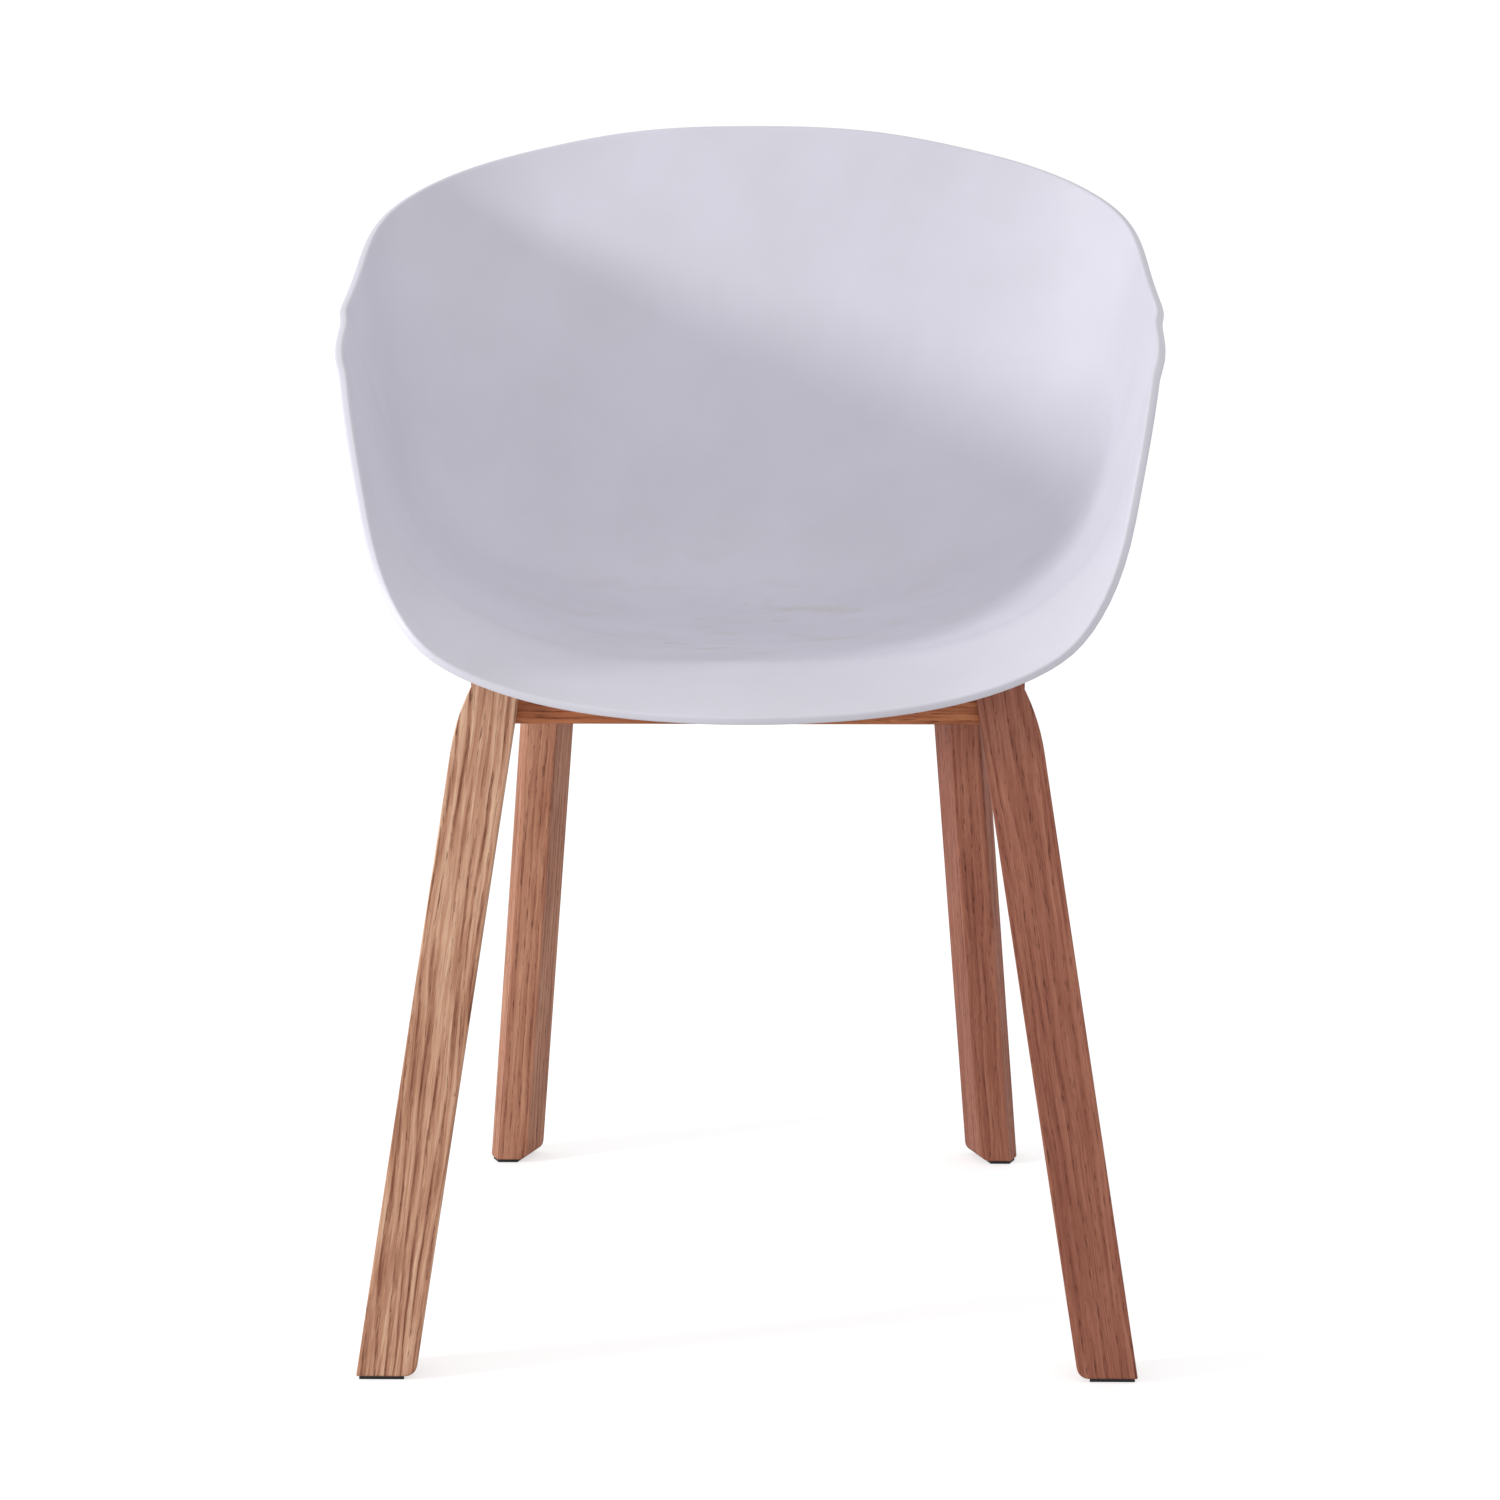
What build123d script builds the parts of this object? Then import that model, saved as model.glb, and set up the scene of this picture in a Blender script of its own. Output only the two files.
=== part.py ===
"""Dining armchair: a moulded bucket shell on a four-leg wooden base.

Millimetres. +Z is up, the sitter faces -Y, and the origin is on the floor under the middle of the chair.
"""
from math import atan2, cos, degrees, hypot, radians, sin, tan
import os

import numpy as np
from build123d import *

# Shell: driving dimensions
shell_thickness = 6
shell_axis = (-60, 830)  # (y, z) of the line across the chair that the shell's cross-sections fan out from

# Centre line of the sitting surface, from the front lip over the seat and up the back, as (y, z)
centre_line = [(-262, 441), (-254, 443.5), (-215, 454.5), (-168, 460.5), (-90, 455), (0, 451), (90, 455),
               (140, 469), (175, 507), (197, 562), (216, 640), (234, 712), (251, 789), (258, 822)]

# Cross-sections at these angles about the shell axis: 0 is straight down, positive is towards the back.
# Each is half a superellipse: half width at the seat, outward flare, height of the bend, exponent.
section_angles = [-27, -10, 8, 24, 36, 48, 60, 72, 86]
section_half_widths = [220, 218, 216, 219, 230, 246, 262, 271, 274]
section_flares = [0.20, 0.26, 0.27, 0.25, 0.23, 0.20, 0.14, 0.10, 0.04]
section_bends = [130, 130, 130, 135, 140, 140, 135, 130, 130]
section_exponents = [3.0, 2.8, 2.8, 2.7, 2.6, 2.7, 3.0, 3.1, 2.9]

# Inner edge of the rim as (x, y, z), from the middle of the front lip up one arm to the top of the back
rim_guide = [(0, -254, 442.5), (60, -251, 445), (110, -246, 450), (150, -241, 457), (185, -236, 468),
             (207, -231, 482), (224, -218, 503), (239, -196, 537), (250, -170, 584), (261, -136, 631),
             (270, -91, 654), (279, 5, 673), (279, 50, 683), (276, 115, 706), (267, 170, 731),
             (226, 215, 757), (157, 240, 777), (90, 249, 789), (0, 252, 793)]
wall_height = 262  # how far the walls run up from the centre line before they are trimmed to the rim
rim_inside = 6  # how far the trimming surface runs into the bowl, and out past the shell
rim_outside = 14
bowl_middle = (0, -60, 640)  # a point inside the bowl, to tell the shell's inner side from its outer side

# How finely the shell is built: cross-sections, points on half of each, places round the rim
row_count = 31
row_steps = 16
row_samples = 400
rim_steps = 120
surface_tolerance = 0.05

# Base: driving dimensions
glide_height = 2.5
glide_inset = 0.8
leg_width = 39
leg_depth = 33
leg_top = 460
front_foot_outer_x = 257
front_foot_face_y = -258
front_leg_splay = 8.9  # outwards, degrees
front_leg_lean = 6.0  # feet forwards, degrees
rear_foot_outer_x = 204.5
rear_foot_face_y = 248
rear_leg_splay = 4.8
rear_leg_lean = 8.0
shoulder_turn = 18.7  # how far the outer edge of a leg bends inwards at its top, degrees
shoulder_radius = 140
shoulder_start = 415
foot_corner_radius = 8
outer_bevel = (6, 14)  # across the leg, along its depth
inner_bevel = (11, 28)
outer_edge_round = 0.9
inner_edge_round = 1.6
bevel_edge_round = 1.6

rail_bottom = 429
front_rail_top = 447
rail_top = 455
front_rail_middle_y = -192
rear_rail_middle_y = 168
cross_rail_depth = 24
side_rail_thickness = 22
side_rail_front = (169, -179)  # middle of the rail where it meets the front leg, (x, y)
side_rail_rear = (148, 153)
rail_edge_round = 2

dowel_diameter = 6
dowel_length = 40
dowel_spacing = 12
dowel_chamfer = 0.8
cross_dowel_z = 436
side_dowel_z = 446
front_dowel_x = 151  # middle of the dowels between the front rail and a front leg
rear_dowel_x = 132

block_size = 46
block_bottom = 431
block_height = 16
front_block_corner = (157, -180)  # (x, y) of the right angle of the block
rear_block_corner = (137.5, 156)
block_screw_offset = 13  # from the middle of the block's long face to each screw
screw_shank_diameter = 4
screw_length = 26
screw_head_diameter = 8
screw_head_height = 2.6
screw_sink = 2

# Where the shell is bolted to the side rails, as y
bolt_rows = (-112, 92)
boss_diameter = 30
boss_length = 60  # more than enough to reach the shell, where each boss is cut off
boss_chamfer = 1
pad_diameter = 26
pad_thickness = 3
bolt_diameter = 6
bolt_clearance = 6.6
bolt_end_gap = 1  # from the tip of a bolt to the end of its insert
bolt_head_diameter = 10
bolt_head_height = 6
bolt_socket = 5
bolt_socket_depth = 3
washer_diameter = 15
washer_thickness = 1.2
counterbore_diameter = 16
counterbore_depth = 9
insert_diameter = 9
insert_length = 9
insert_flange = 11
insert_flange_height = 1

nail_diameter = 2.4
nail_length = 18
nail_head_diameter = 6
nail_head_height = 0.8
nail_head_recess = 0.6

os.makedirs("parts", exist_ok=True)


def write(part, name):
    """Label one finished piece and write it as its own node."""
    part.label = name
    export_step(part, f"parts/{name}.step")


# ---------------------------------------------------------------- shell surface
def smooth_curve(stations, values, at):
    """Values of the natural cubic spline through the stations."""
    stations = np.asarray(stations, float)
    values = np.asarray(values, float)
    spans = np.diff(stations)
    count = len(stations)
    system = np.eye(count)
    right = np.zeros(count)
    for i in range(1, count - 1):
        system[i, i - 1:i + 2] = spans[i - 1], 2 * (spans[i - 1] + spans[i]), spans[i]
        slope_after = (values[i + 1] - values[i]) / spans[i]
        slope_before = (values[i] - values[i - 1]) / spans[i - 1]
        right[i] = 6 * (slope_after - slope_before)
    bending = np.linalg.solve(system, right)
    span = int(np.clip(np.searchsorted(stations, at) - 1, 0, count - 2))
    width = spans[span]
    before = stations[span + 1] - at
    after = at - stations[span]
    curve = (bending[span] * before**3 + bending[span + 1] * after**3) / (6 * width)
    line = (values[span] / width - bending[span] * width / 6) * before
    line += (values[span + 1] / width - bending[span + 1] * width / 6) * after
    return float(curve + line)


def polar(y, z):
    """Angle about the shell axis, in degrees, and distance from it."""
    back = y - shell_axis[0]
    down = shell_axis[1] - z
    return degrees(atan2(back, down)), hypot(back, down)


centre_angles, centre_radii = zip(*(polar(y, z) for y, z in centre_line))


def sitting_surface(angle, height):
    """Point of the sitting surface on the +X side, a height above the centre line in its cross-section."""
    half_width = smooth_curve(section_angles, section_half_widths, angle)
    flare = smooth_curve(section_angles, section_flares, angle)
    bend = smooth_curve(section_angles, section_bends, angle)
    exponent = smooth_curve(section_angles, section_exponents, angle)
    below_bend = max(1 - height / bend, 0)
    x = (half_width + flare * height) * max(1 - below_bend**exponent, 0) ** (1 / exponent)
    radius = smooth_curve(centre_angles, centre_radii, angle) - height
    y = shell_axis[0] + radius * sin(radians(angle))
    z = shell_axis[1] - radius * cos(radians(angle))
    return Vector(x, y, z)


def surface_row(angle):
    """One cross-section of the sitting surface, from rim to rim, evenly spaced along its curve."""
    heights = [wall_height * (i / row_samples) ** 3 for i in range(row_samples + 1)]
    side = [sitting_surface(angle, height) for height in heights]
    lengths = [0.0]
    for start, end in zip(side, side[1:]):
        lengths.append(lengths[-1] + (end - start).length)
    picked = []
    for i in range(1, row_steps + 1):
        place = lengths[-1] * i / row_steps
        height = float(np.interp(place, lengths, heights))
        picked.append(sitting_surface(angle, height))
    mirrored = [Vector(-point.X, point.Y, point.Z) for point in reversed(picked)]
    return mirrored + [side[0]] + picked


row_angles = np.linspace(centre_angles[0], centre_angles[-1], row_count)
surface_rows = [surface_row(angle) for angle in row_angles]
sitting_face = Face.make_surface_from_array_of_points(surface_rows, tol=surface_tolerance)


def below_shell(x, y):
    """Point half way through the shell's thickness, straight above (x, y) on the floor, and its normal."""
    above = Axis((x, y, 0), (0, 0, 1))
    hit = sitting_face.find_intersection_points(above)[0][0]
    normal = sitting_face.normal_at(hit)
    if normal.Z > 0:
        normal = -normal
    return hit + normal * (shell_thickness / 2), normal


def rim_ribbon():
    """Closed band that follows the rim and stands square to the shell, to trim it with."""
    other_side = [(-x, y, z) for x, y, z in reversed(rim_guide[1:-1])]
    rim_loop = Edge.make_spline([Vector(*place) for place in rim_guide + other_side], periodic=True)
    band = []
    for i in range(rim_steps):
        place = sitting_face.closest_points(Vertex(*(rim_loop @ (i / rim_steps))))[0]
        normal = sitting_face.normal_at(place)
        if normal.dot(place - Vector(*bowl_middle)) < 0:
            normal = -normal
        band.append([place - normal * rim_inside, place + normal * rim_outside])
    return Face.make_surface_from_array_of_points(band + band[:1], tol=surface_tolerance)


def side_rail_x(y):
    """Middle of a side rail at y, on the +X side."""
    along = (y - side_rail_front[1]) / (side_rail_rear[1] - side_rail_front[1])
    return side_rail_front[0] + along * (side_rail_rear[0] - side_rail_front[0])


bolt_places = [(side * side_rail_x(y), y) for y in bolt_rows for side in (-1, 1)]
boss_bottom = rail_top + pad_thickness

bosses = []
for x, y in bolt_places:
    boss_root, boss_root_normal = below_shell(x, y)
    with BuildPart() as boss:
        with BuildSketch(Plane.XY.offset(boss_bottom)):
            with Locations((x, y)):
                Circle(boss_diameter / 2)
        extrude(amount=boss_length)
        split(bisect_by=Plane(boss_root, z_dir=boss_root_normal), keep=Keep.TOP)
        chamfer(boss.faces().sort_by(Axis.Z)[0].edges(), boss_chamfer)
    bosses.append(boss.part)

# Brass inserts pressed into the bosses from below
with BuildPart() as shell_inserts:
    with BuildSketch(Plane.XY.offset(boss_bottom)):
        with Locations(*bolt_places):
            Circle(insert_flange / 2)
            Circle(bolt_diameter / 2, mode=Mode.SUBTRACT)
    extrude(amount=insert_flange_height)
    with BuildSketch(Plane.XY.offset(boss_bottom + insert_flange_height)):
        with Locations(*bolt_places):
            Circle(insert_diameter / 2)
            Circle(bolt_diameter / 2, mode=Mode.SUBTRACT)
    extrude(amount=insert_length - insert_flange_height)
write(shell_inserts.part, "shell_inserts")

with BuildPart() as untrimmed_shell:
    thicken(sitting_face, amount=shell_thickness, normal_override=(0, 0, -1))
    split(bisect_by=rim_ribbon(), keep=Keep.ALL)

with BuildPart() as seat_shell:
    add(untrimmed_shell.solids().sort_by(Axis.Z)[0])
    for boss_part in bosses:
        add(boss_part)
    with BuildSketch(Plane.XY.offset(boss_bottom)):
        with Locations(*bolt_places):
            Circle(insert_flange / 2)
    extrude(amount=insert_flange_height, mode=Mode.SUBTRACT)
    with BuildSketch(Plane.XY.offset(boss_bottom)):
        with Locations(*bolt_places):
            Circle(insert_diameter / 2)
    extrude(amount=insert_length, mode=Mode.SUBTRACT)
write(seat_shell.part, "seat_shell")


# ---------------------------------------------------------------- wooden base
def is_long(edge):
    """Whether an edge runs along the leg, or round its shoulder, and not across it."""
    return edge.length > leg_width + 1


def leg_blank(outer_x, face_y, splay, lean, facing):
    """Leg on the +X side with its bevels; facing is -1 for a front leg and 1 for a rear leg."""
    up = Vector(0, -facing * sin(radians(lean)), cos(radians(lean)))
    outward = Vector(0, facing * cos(radians(lean)), sin(radians(lean)))
    face_plane = Plane(origin=(0, face_y, 0), x_dir=up.cross(outward), z_dir=outward)
    side = face_plane.x_dir.X
    slope = tan(radians(splay))
    shoulder_slope = tan(radians(splay + shoulder_turn))
    shoulder = shoulder_start + shoulder_radius * tan(radians(shoulder_turn / 2))
    shoulder_x = outer_x - shoulder * slope
    inner_x = outer_x - leg_width
    top = leg_top + leg_depth
    foot = -leg_depth
    corners = [(outer_x - foot * slope, foot), (shoulder_x, shoulder),
               (shoulder_x - (top - shoulder) * shoulder_slope, top),
               (inner_x - top * slope, top), (inner_x - foot * slope, foot)]
    with BuildPart() as blank:
        with BuildSketch(face_plane) as outline:
            with BuildLine():
                Polyline([(side * x, height) for x, height in corners], close=True)
            make_face()
            shoulder_vertex = outline.vertices().sort_by_distance((side * shoulder_x, shoulder))[0]
            fillet(shoulder_vertex, shoulder_radius)
        extrude(amount=-leg_depth)
        depth_axis = Axis((0, 0, 0), outward)
        inward_face = blank.faces().sort_by(depth_axis)[0]
        long_edges = inward_face.edges().filter_by(is_long)
        inner_edge = long_edges.sort_by(SortBy.LENGTH)[-1]
        chamfer(inner_edge, length=inner_bevel[0], length2=inner_bevel[1], reference=inward_face)
        inward_face = blank.faces().sort_by(depth_axis)[0]
        long_edges = inward_face.edges().filter_by(is_long)
        outer_edges = long_edges - long_edges.sort_by(SortBy.LENGTH)[-1:]
        chamfer(outer_edges, length=outer_bevel[0], length2=outer_bevel[1], reference=inward_face)
        split(bisect_by=Plane.XY.offset(leg_top), keep=Keep.BOTTOM)
        split(bisect_by=Plane.XY.offset(glide_height), keep=Keep.TOP)
        foot_edges = blank.faces().sort_by(Axis.Z)[0].edges().sort_by(Axis.X)
        fillet(foot_edges[:2], foot_corner_radius)
        outward_face = blank.faces().filter_by(face_plane).sort_by(depth_axis)[-1]
        inner_edge, outer_edge = outward_face.edges().filter_by(is_long).sort_by(Axis.X)[:2]
        fillet(inner_edge, inner_edge_round)
        inward_face = blank.faces().filter_by(face_plane).sort_by(depth_axis)[0]
        fillet(inward_face.edges().filter_by(is_long), bevel_edge_round)
        outward_face = blank.faces().filter_by(face_plane).sort_by(depth_axis)[-1]
        fillet(outward_face.edges().filter_by(is_long).sort_by(Axis.X)[-1], outer_edge_round)
    return blank.part


front_blank = leg_blank(front_foot_outer_x, front_foot_face_y, front_leg_splay, front_leg_lean, -1)
rear_blank = leg_blank(rear_foot_outer_x, rear_foot_face_y, rear_leg_splay, rear_leg_lean, 1)
leg_blanks = {"front_right": front_blank, "front_left": front_blank.mirror(Plane.YZ),
              "rear_right": rear_blank, "rear_left": rear_blank.mirror(Plane.YZ)}
side_signs = {"left": -1, "right": 1}


# Dowels: two at each end of each rail, the cross rails' along X and the side rails' along Y
dowel_lines = []
for side in (-1, 1):
    for middle_y, middle_x in ((front_rail_middle_y, front_dowel_x), (rear_rail_middle_y, rear_dowel_x)):
        for offset_y in (-dowel_spacing / 2, dowel_spacing / 2):
            start = (side * (middle_x - dowel_length / 2), middle_y + offset_y, cross_dowel_z)
            dowel_lines.append((start, (side, 0, 0)))
    for end_x, end_y in (side_rail_front, side_rail_rear):
        for offset_x in (-dowel_spacing / 2, dowel_spacing / 2):
            start = (side * (end_x + offset_x), end_y - dowel_length / 2, side_dowel_z)
            dowel_lines.append((start, (0, 1, 0)))

with BuildPart() as rail_dowels:
    for start, direction in dowel_lines:
        with BuildSketch(Plane(start, z_dir=direction)):
            Circle(dowel_diameter / 2)
        extrude(amount=dowel_length)
    chamfer(rail_dowels.edges().filter_by(GeomType.CIRCLE), dowel_chamfer)
write(rail_dowels.part, "rail_dowels")


# Corner blocks' screws: one into the cross rail and one into the side rail, from the block's long face
def block_frame(end, side):
    """Right-angle corner of a block, and its directions along the cross rail and along the side rail."""
    corner = front_block_corner if end == "front" else rear_block_corner
    inwards = -1 if end == "rear" else 1
    return Vector(side * corner[0], corner[1], 0), Vector(-side, 0, 0), Vector(0, inwards, 0)


screw_z = block_bottom + block_height / 2
screw_lines = []
for end in ("front", "rear"):
    for side in (-1, 1):
        corner, along_cross, along_side = block_frame(end, side)
        near, far = block_size / 2 - block_screw_offset / 2, block_size / 2 + block_screw_offset / 2
        height = Vector(0, 0, screw_z)
        screw_lines.append((corner + along_cross * far + along_side * near + height, -along_side))
        screw_lines.append((corner + along_cross * near + along_side * far + height, -along_cross))

with BuildPart() as corner_block_screws:
    for face_point, direction in screw_lines:
        head_plane = Plane(face_point + direction * screw_sink, z_dir=direction)
        with BuildSketch(head_plane):
            Circle(screw_head_diameter / 2)
        with BuildSketch(head_plane.offset(screw_head_height)):
            Circle(screw_shank_diameter / 2)
        loft()
        with BuildSketch(head_plane.offset(screw_head_height)):
            Circle(screw_shank_diameter / 2)
        extrude(amount=screw_length - screw_head_height)
write(corner_block_screws.part, "corner_block_screws")

with BuildPart() as screw_recesses:
    for face_point, direction in screw_lines:
        with BuildSketch(Plane(face_point + direction * screw_sink, z_dir=direction)):
            Circle(screw_head_diameter / 2)
        extrude(amount=-block_size / 2)

# Glides under the feet, and the nail that holds each one
foot_faces = {name: blank.faces().sort_by(Axis.Z)[0] for name, blank in leg_blanks.items()}

with BuildPart() as glide_nails:
    for foot_face in foot_faces.values():
        foot_middle = foot_face.center()
        head_plane = Plane((foot_middle.X, foot_middle.Y, nail_head_recess))
        with BuildSketch(head_plane):
            Circle(nail_head_diameter / 2)
        extrude(amount=nail_head_height)
        with BuildSketch(head_plane.offset(nail_head_height)):
            Circle(nail_diameter / 2)
        extrude(amount=nail_length - nail_head_height)
write(glide_nails.part, "glide_nails")

for name, foot_face in foot_faces.items():
    foot_middle = foot_face.center()
    with BuildPart() as glide:
        with BuildSketch():
            add(foot_face.moved(Location((0, 0, -glide_height))))
            offset(amount=-glide_inset)
        extrude(amount=glide_height)
        with BuildSketch(Plane((foot_middle.X, foot_middle.Y, 0))):
            Circle(nail_head_diameter / 2)
        extrude(amount=nail_head_recess, mode=Mode.SUBTRACT)
        add(glide_nails.part, mode=Mode.SUBTRACT)
    write(glide.part, f"{name}_glide")

for name, blank in leg_blanks.items():
    with BuildPart() as leg:
        add(blank)
        add(rail_dowels.part, mode=Mode.SUBTRACT)
        add(glide_nails.part, mode=Mode.SUBTRACT)
    write(leg.part, f"{name}_leg")


# ---------------------------------------------------------------- shell fixings
def bolt_discs(bottom, diameter, height):
    """One round disc on each of the four bolt lines."""
    with BuildPart() as discs:
        with BuildSketch(Plane.XY.offset(bottom)):
            with Locations(*bolt_places):
                Circle(diameter / 2)
        extrude(amount=height)
    return discs.part


washer_top = rail_bottom + counterbore_depth
head_top = washer_top - washer_thickness
clearance_holes = bolt_discs(rail_bottom, bolt_clearance, boss_bottom - rail_bottom)
counterbores = bolt_discs(rail_bottom, counterbore_diameter, counterbore_depth)

with BuildPart() as shell_bolts:
    add(bolt_discs(head_top - bolt_head_height, bolt_head_diameter, bolt_head_height))
    add(bolt_discs(head_top, bolt_diameter, boss_bottom + insert_length - bolt_end_gap - head_top))
    with BuildSketch(Plane.XY.offset(head_top - bolt_head_height)):
        with Locations(*bolt_places):
            RegularPolygon(bolt_socket / 2, 6, major_radius=False)
    extrude(amount=bolt_socket_depth, mode=Mode.SUBTRACT)
write(shell_bolts.part, "shell_bolts")

with BuildPart() as shell_bolt_washers:
    add(bolt_discs(head_top, washer_diameter, washer_thickness))
    add(bolt_discs(head_top, bolt_diameter, washer_thickness), mode=Mode.SUBTRACT)
write(shell_bolt_washers.part, "shell_bolt_washers")

with BuildPart() as spacer_pads:
    add(bolt_discs(rail_top, pad_diameter, pad_thickness))
    add(clearance_holes, mode=Mode.SUBTRACT)
write(spacer_pads.part, "spacer_pads")

# Side rails run from a front leg to a rear leg and carry the shell
side_rails = []
for side_name, side in side_signs.items():
    front_end = Vector(side * side_rail_front[0], side_rail_front[1], 0)
    rear_end = Vector(side * side_rail_rear[0], side_rail_rear[1], 0)
    run = rear_end - front_end
    overrun = dowel_spacing / 2
    with BuildPart() as side_rail:
        with BuildSketch(Plane(front_end - run.normalized() * overrun, x_dir=(0, 0, 1), z_dir=run)):
            with Locations(((rail_bottom + rail_top) / 2, 0)):
                RectangleRounded(rail_top - rail_bottom, side_rail_thickness, rail_edge_round)
        extrude(amount=run.length + 2 * overrun)
        for blank in leg_blanks.values():
            add(blank, mode=Mode.SUBTRACT)
        add(rail_dowels.part, mode=Mode.SUBTRACT)
        add(corner_block_screws.part, mode=Mode.SUBTRACT)
        add(clearance_holes, mode=Mode.SUBTRACT)
        add(counterbores, mode=Mode.SUBTRACT)
    side_rails.append(side_rail.part)
    write(side_rail.part, f"{side_name}_side_rail")
    for end in ("front", "rear"):
        corner, along_cross, along_side = block_frame(end, side)
        with BuildPart() as block:
            with BuildSketch(Plane.XY.offset(block_bottom)):
                with BuildLine():
                    Polyline(corner, corner + along_cross * block_size, corner + along_side * block_size,
                             close=True)
                make_face()
            extrude(amount=block_height)
            add(side_rail.part, mode=Mode.SUBTRACT)
            add(leg_blanks[f"{end}_{side_name}"], mode=Mode.SUBTRACT)
            add(corner_block_screws.part, mode=Mode.SUBTRACT)
            add(screw_recesses.part, mode=Mode.SUBTRACT)
        write(block.part, f"{end}_{side_name}_corner_block")

# Cross rails run between the two front legs and between the two rear legs, scribed to their sides
for end, middle_y, top, reach in (("front", front_rail_middle_y, front_rail_top, front_dowel_x),
                                  ("rear", rear_rail_middle_y, rail_top, rear_dowel_x)):
    with BuildPart() as cross_rail:
        with BuildSketch(Plane.YZ):
            with Locations((middle_y, (rail_bottom + top) / 2)):
                RectangleRounded(cross_rail_depth, top - rail_bottom, rail_edge_round)
        extrude(amount=reach + dowel_spacing, both=True)
        for neighbour in (*leg_blanks.values(), *side_rails):
            add(neighbour, mode=Mode.SUBTRACT)
        add(rail_dowels.part, mode=Mode.SUBTRACT)
        add(corner_block_screws.part, mode=Mode.SUBTRACT)
    write(cross_rail.part, f"{end}_rail")
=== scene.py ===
"""Dining armchair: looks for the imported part. Metres, +Z up, the sitter faces -Y."""
import math

import bmesh
import bpy
import numpy as np
from mathutils import Matrix, Vector
from mathutils.bvhtree import BVHTree


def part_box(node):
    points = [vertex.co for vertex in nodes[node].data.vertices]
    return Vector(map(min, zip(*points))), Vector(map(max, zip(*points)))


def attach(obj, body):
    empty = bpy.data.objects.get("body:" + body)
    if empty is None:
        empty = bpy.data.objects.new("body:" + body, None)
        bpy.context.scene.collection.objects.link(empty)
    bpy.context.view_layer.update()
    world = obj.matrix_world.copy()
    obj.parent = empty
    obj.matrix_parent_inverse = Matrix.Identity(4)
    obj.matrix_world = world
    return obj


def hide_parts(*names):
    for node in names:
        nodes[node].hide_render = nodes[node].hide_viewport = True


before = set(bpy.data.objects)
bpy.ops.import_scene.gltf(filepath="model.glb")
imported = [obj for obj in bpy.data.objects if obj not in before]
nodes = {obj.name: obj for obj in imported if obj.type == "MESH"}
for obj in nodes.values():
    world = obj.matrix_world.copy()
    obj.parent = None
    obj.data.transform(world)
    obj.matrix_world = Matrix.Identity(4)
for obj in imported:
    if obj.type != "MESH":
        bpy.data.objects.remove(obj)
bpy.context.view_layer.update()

MM = 0.001

# ------------------------ shell, in mm
# The CAD part's surface, but with a crisper ridge across the front of the seat, up to 2 mm away from it.
SHELL_THICKNESS = 6.0
SHELL_AXIS = (-60.0, 830.0)
CENTRE_LINE = [(-262, 441), (-254, 443.5), (-215, 454.3), (-183, 459.6), (-158, 461.3), (-133, 458.3),
               (-90, 454.8), (0, 451), (90, 455), (140, 469), (175, 507), (197, 562), (216, 640), (234, 712),
               (251, 789), (258, 822)]
SECTION_ANGLES = [-27, -10, 8, 24, 36, 48, 60, 72, 86]
SECTION_HALF_WIDTHS = [220, 218, 216, 219, 230, 246, 262, 271, 274]
SECTION_FLARES = [0.20, 0.26, 0.27, 0.25, 0.23, 0.20, 0.14, 0.10, 0.04]
SECTION_BENDS = [130, 130, 130, 135, 140, 140, 135, 130, 130]
SECTION_EXPONENTS = [3.0, 2.8, 2.8, 2.7, 2.6, 2.7, 3.0, 3.1, 2.9]
RIM_GUIDE = [(0, -254, 442.5), (60, -251, 445), (110, -246, 450), (150, -241, 457), (185, -236, 468),
             (207, -231, 482), (224, -218, 503), (239, -196, 537), (250, -170, 584), (261, -136, 631),
             (270, -91, 654), (279, 5, 673), (279, 50, 683), (276, 115, 706), (267, 170, 731),
             (226, 215, 757), (157, 240, 777), (90, 249, 789), (0, 252, 793)]
WALL_HEIGHT = 262.0
RIM_ROUND = 1.7  # radius of the rim's two edges
RIM_ROUND_STEPS = 5
GRID = 80  # quads along each side of the square patch in the middle of the seat
PATCH = 0.4  # how far the patch reaches from the middle of the seat to the rim
RINGS = 46  # quads from the patch to the rim
DOMAIN_MIDDLE = 22.0  # cross-section angle at the middle of the patch
DOMAIN_HALF = 57.0  # degrees that count as much as the full height of a wall
ANGLE_STEP = 0.2  # steps over which slopes of the surface are measured
CLIMB_STEP = 0.012
RIM_SAMPLES = 1600
RIM_PASSES = 30  # steps of the walk from the rim's guide to the nearest point of the surface


def smooth_curve(stations, values, at):
    """Values of the natural cubic spline through the stations, at each place."""
    stations = np.asarray(stations, float)
    values = np.asarray(values, float)
    spans = np.diff(stations)
    count = len(stations)
    system = np.eye(count)
    right = np.zeros(count)
    for i in range(1, count - 1):
        system[i, i - 1:i + 2] = spans[i - 1], 2 * (spans[i - 1] + spans[i]), spans[i]
        slope_after = (values[i + 1] - values[i]) / spans[i]
        slope_before = (values[i] - values[i - 1]) / spans[i - 1]
        right[i] = 6 * (slope_after - slope_before)
    bending = np.linalg.solve(system, right)
    span = np.clip(np.searchsorted(stations, at) - 1, 0, count - 2)
    width = spans[span]
    before = stations[span + 1] - at
    after = at - stations[span]
    curve = (bending[span] * before**3 + bending[span + 1] * after**3) / (6 * width)
    line = (values[span] / width - bending[span] * width / 6) * before
    line += (values[span + 1] / width - bending[span + 1] * width / 6) * after
    return curve + line


centre_y, centre_z = np.array(CENTRE_LINE, float).T
centre_angles = np.degrees(np.arctan2(centre_y - SHELL_AXIS[0], SHELL_AXIS[1] - centre_z))
centre_radii = np.hypot(centre_y - SHELL_AXIS[0], SHELL_AXIS[1] - centre_z)


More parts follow.
